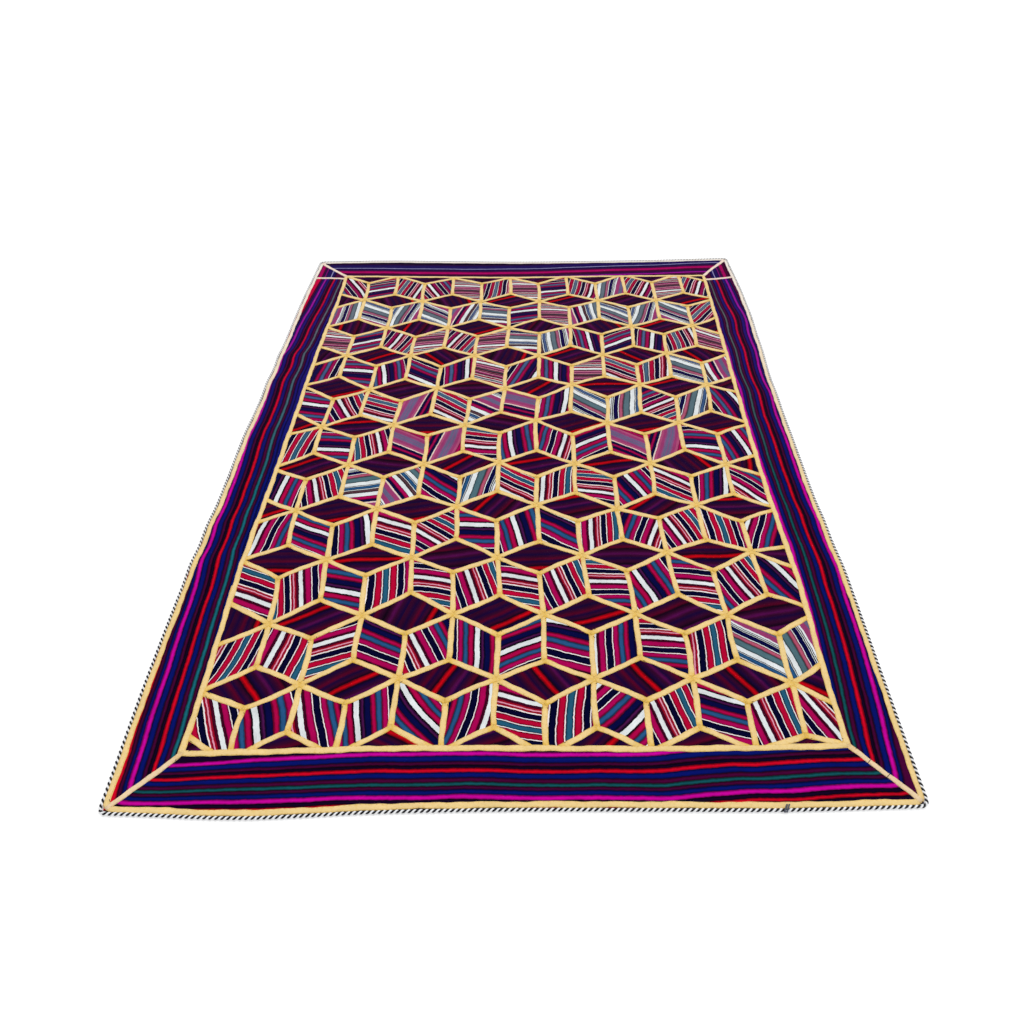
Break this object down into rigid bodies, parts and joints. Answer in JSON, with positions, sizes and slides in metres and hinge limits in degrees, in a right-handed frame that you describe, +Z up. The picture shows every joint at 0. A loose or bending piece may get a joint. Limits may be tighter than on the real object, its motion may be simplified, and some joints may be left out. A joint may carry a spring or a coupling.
{
  "type": "patchwork rug",
  "caption": "Flat patchwork rug: a field of striped tumbling blocks with cream tapes over the seams, mitred striped borders and a twisted cord sewn round the edge.",
  "frame": {"origin": "middle of the underside, on the floor that the rug lies on", "axes": "+X across the rug to the right, +Y along it to the far end, +Z up through the patterned face"},
  "size_m": [1.738, 2.4357, 0.006],
  "materials": {
    "patch_wool": "striped flat-weave wool, matt",
    "border_wool": "striped flat-weave wool, matt",
    "cream_tape": "cream woven cotton tape, matt",
    "twisted_yarn": "black and white twisted yarn, matt"
  },
  "bodies": {
    "root": {"field_panel": "patch_wool", "border_near": "border_wool", "border_far": "border_wool", "border_left": "border_wool", "border_right": "border_wool", "corner_far_left": "border_wool", "corner_far_right": "border_wool", "cross_tape_left": "cream_tape", "cross_tape_right": "cream_tape", "frame_tape_near": "cream_tape", "frame_tape_far": "cream_tape", "frame_tape_left": "cream_tape", "frame_tape_right": "cream_tape", "mitre_tape_near_left": "cream_tape", "mitre_tape_near_right": "cream_tape", "mitre_tape_far_left": "cream_tape", "mitre_tape_far_right": "cream_tape", "edge_tape_near": "cream_tape", "edge_tape_far": "cream_tape", "edge_tape_left": "cream_tape", "edge_tape_right": "cream_tape", "seam_tape_row_01": "cream_tape", "seam_tape_row_02": "cream_tape", "seam_tape_row_03": "cream_tape", "seam_tape_row_04": "cream_tape", "seam_tape_row_05": "cream_tape", "seam_tape_row_06": "cream_tape", "seam_tape_row_07": "cream_tape", "seam_tape_row_08": "cream_tape", "seam_tape_row_09": "cream_tape", "seam_tape_row_10": "cream_tape", "seam_tape_corner_far_right": "cream_tape", "seam_tape_corner_near_left": "cream_tape", "edge_cord": "twisted_yarn"}
  },
  "joints": []
}
